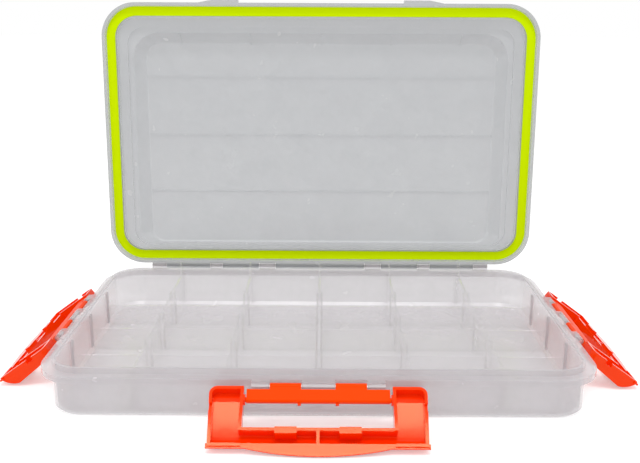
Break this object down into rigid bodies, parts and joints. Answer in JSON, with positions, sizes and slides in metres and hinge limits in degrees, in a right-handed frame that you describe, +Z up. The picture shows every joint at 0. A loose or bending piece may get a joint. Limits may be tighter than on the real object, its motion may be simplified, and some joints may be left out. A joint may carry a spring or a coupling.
{
  "type": "tackle box",
  "caption": "Flat compartment box with a hinged see-through lid, a rubber seal, lift-out dividers and three folding lever latches.",
  "frame": {"origin": "middle of the flat underside of the tray", "axes": "+X to the right along the tray's long side, +Y to the lid's hinge, +Z up out of the tray"},
  "size_m": [0.44, 0.2891, 0.2538],
  "materials": {
    "clear_tray": "moulded translucent polypropylene",
    "clear_lid": "moulded translucent polypropylene",
    "dividers": "moulded translucent polypropylene",
    "seal": "lime silicone rubber",
    "latches": "moulded opaque orange plastic",
    "pins": "drawn steel rod"
  },
  "bodies": {
    "tray": {"tray": "clear_tray", "long_divider_1": "dividers", "long_divider_2": "dividers", "long_divider_3": "dividers", "long_divider_4": "dividers", "long_divider_5": "dividers", "lid_hinge_rod": "pins", "front_latch_pin": "pins", "left_latch_pin": "pins", "right_latch_pin": "pins"},
    "lid": {"lid": "clear_lid", "gasket": "seal"},
    "front_latch_link": {"front_latch_link": "latches"},
    "front_latch_lever": {"front_latch_lever": "latches"},
    "left_latch_link": {"left_latch_link": "latches"},
    "left_latch_lever": {"left_latch_lever": "latches"},
    "right_latch_link": {"right_latch_link": "latches"},
    "right_latch_lever": {"right_latch_lever": "latches"},
    "cross_divider_1_1": {"cross_divider_1_1": "dividers"},
    "cross_divider_1_2": {"cross_divider_1_2": "dividers"},
    "cross_divider_1_3": {"cross_divider_1_3": "dividers"},
    "cross_divider_2_1": {"cross_divider_2_1": "dividers"},
    "cross_divider_2_2": {"cross_divider_2_2": "dividers"},
    "cross_divider_2_3": {"cross_divider_2_3": "dividers"},
    "cross_divider_3_1": {"cross_divider_3_1": "dividers"},
    "cross_divider_3_2": {"cross_divider_3_2": "dividers"},
    "cross_divider_3_3": {"cross_divider_3_3": "dividers"},
    "cross_divider_4_1": {"cross_divider_4_1": "dividers"},
    "cross_divider_4_2": {"cross_divider_4_2": "dividers"},
    "cross_divider_4_3": {"cross_divider_4_3": "dividers"},
    "cross_divider_5_1": {"cross_divider_5_1": "dividers"},
    "cross_divider_5_2": {"cross_divider_5_2": "dividers"},
    "cross_divider_5_3": {"cross_divider_5_3": "dividers"},
    "cross_divider_6_1": {"cross_divider_6_1": "dividers"},
    "cross_divider_6_2": {"cross_divider_6_2": "dividers"},
    "cross_divider_6_3": {"cross_divider_6_3": "dividers"}
  },
  "joints": [
    {"name": "lid_hinge", "type": "hinge", "parent": "tray", "child": "lid", "pos_m": [0, 0.1108, 0.0328], "axis": [1, 0, 0], "range_deg": [0, 93.13]},
    {"name": "front_link_hinge", "type": "hinge", "parent": "tray", "child": "front_latch_link", "pos_m": [0, -0.1115, 0.0262], "axis": [1, 0, 0], "range_deg": [0, 54]},
    {"name": "front_lever_hinge", "type": "hinge", "parent": "front_latch_link", "child": "front_latch_lever", "pos_m": [0, -0.11878, 0.02091], "axis": [-1, 0, 0], "range_deg": [0, 180]},
    {"name": "left_link_hinge", "type": "hinge", "parent": "tray", "child": "left_latch_link", "pos_m": [-0.1815, 0.003, 0.0262], "axis": [0, -1, 0], "range_deg": [0, 54]},
    {"name": "left_lever_hinge", "type": "hinge", "parent": "left_latch_link", "child": "left_latch_lever", "pos_m": [-0.18878, 0.003, 0.02091], "axis": [0, 1, 0], "range_deg": [0, 180]},
    {"name": "right_link_hinge", "type": "hinge", "parent": "tray", "child": "right_latch_link", "pos_m": [0.1815, 0.003, 0.0262], "axis": [0, 1, 0], "range_deg": [0, 54]},
    {"name": "right_lever_hinge", "type": "hinge", "parent": "right_latch_link", "child": "right_latch_lever", "pos_m": [0.18878, 0.003, 0.02091], "axis": [0, -1, 0], "range_deg": [0, 180]},
    {"name": "cross_divider_1_1_lift", "type": "slide", "parent": "tray", "child": "cross_divider_1_1", "axis": [0, 0, -1], "range_m": [-0.03, 0]},
    {"name": "cross_divider_1_2_lift", "type": "slide", "parent": "tray", "child": "cross_divider_1_2", "axis": [0, 0, -1], "range_m": [-0.03, 0]},
    {"name": "cross_divider_1_3_lift", "type": "slide", "parent": "tray", "child": "cross_divider_1_3", "axis": [0, 0, -1], "range_m": [-0.03, 0]},
    {"name": "cross_divider_2_1_lift", "type": "slide", "parent": "tray", "child": "cross_divider_2_1", "axis": [0, 0, -1], "range_m": [-0.03, 0]},
    {"name": "cross_divider_2_2_lift", "type": "slide", "parent": "tray", "child": "cross_divider_2_2", "axis": [0, 0, -1], "range_m": [-0.03, 0]},
    {"name": "cross_divider_2_3_lift", "type": "slide", "parent": "tray", "child": "cross_divider_2_3", "axis": [0, 0, -1], "range_m": [-0.03, 0]},
    {"name": "cross_divider_3_1_lift", "type": "slide", "parent": "tray", "child": "cross_divider_3_1", "axis": [0, 0, -1], "range_m": [-0.03, 0]},
    {"name": "cross_divider_3_2_lift", "type": "slide", "parent": "tray", "child": "cross_divider_3_2", "axis": [0, 0, -1], "range_m": [-0.03, 0]},
    {"name": "cross_divider_3_3_lift", "type": "slide", "parent": "tray", "child": "cross_divider_3_3", "axis": [0, 0, -1], "range_m": [-0.03, 0]},
    {"name": "cross_divider_4_1_lift", "type": "slide", "parent": "tray", "child": "cross_divider_4_1", "axis": [0, 0, -1], "range_m": [-0.03, 0]},
    {"name": "cross_divider_4_2_lift", "type": "slide", "parent": "tray", "child": "cross_divider_4_2", "axis": [0, 0, -1], "range_m": [-0.03, 0]},
    {"name": "cross_divider_4_3_lift", "type": "slide", "parent": "tray", "child": "cross_divider_4_3", "axis": [0, 0, -1], "range_m": [-0.03, 0]},
    {"name": "cross_divider_5_1_lift", "type": "slide", "parent": "tray", "child": "cross_divider_5_1", "axis": [0, 0, -1], "range_m": [-0.03, 0]},
    {"name": "cross_divider_5_2_lift", "type": "slide", "parent": "tray", "child": "cross_divider_5_2", "axis": [0, 0, -1], "range_m": [-0.03, 0]},
    {"name": "cross_divider_5_3_lift", "type": "slide", "parent": "tray", "child": "cross_divider_5_3", "axis": [0, 0, -1], "range_m": [-0.03, 0]},
    {"name": "cross_divider_6_1_lift", "type": "slide", "parent": "tray", "child": "cross_divider_6_1", "axis": [0, 0, -1], "range_m": [-0.03, 0]},
    {"name": "cross_divider_6_2_lift", "type": "slide", "parent": "tray", "child": "cross_divider_6_2", "axis": [0, 0, -1], "range_m": [-0.03, 0]},
    {"name": "cross_divider_6_3_lift", "type": "slide", "parent": "tray", "child": "cross_divider_6_3", "axis": [0, 0, -1], "range_m": [-0.03, 0]}
  ],
  "couplings": [
    {"joint": "front_link_hinge", "follows": "front_lever_hinge", "ratio": 0.3},
    {"joint": "left_link_hinge", "follows": "left_lever_hinge", "ratio": 0.3},
    {"joint": "right_link_hinge", "follows": "right_lever_hinge", "ratio": 0.3}
  ]
}
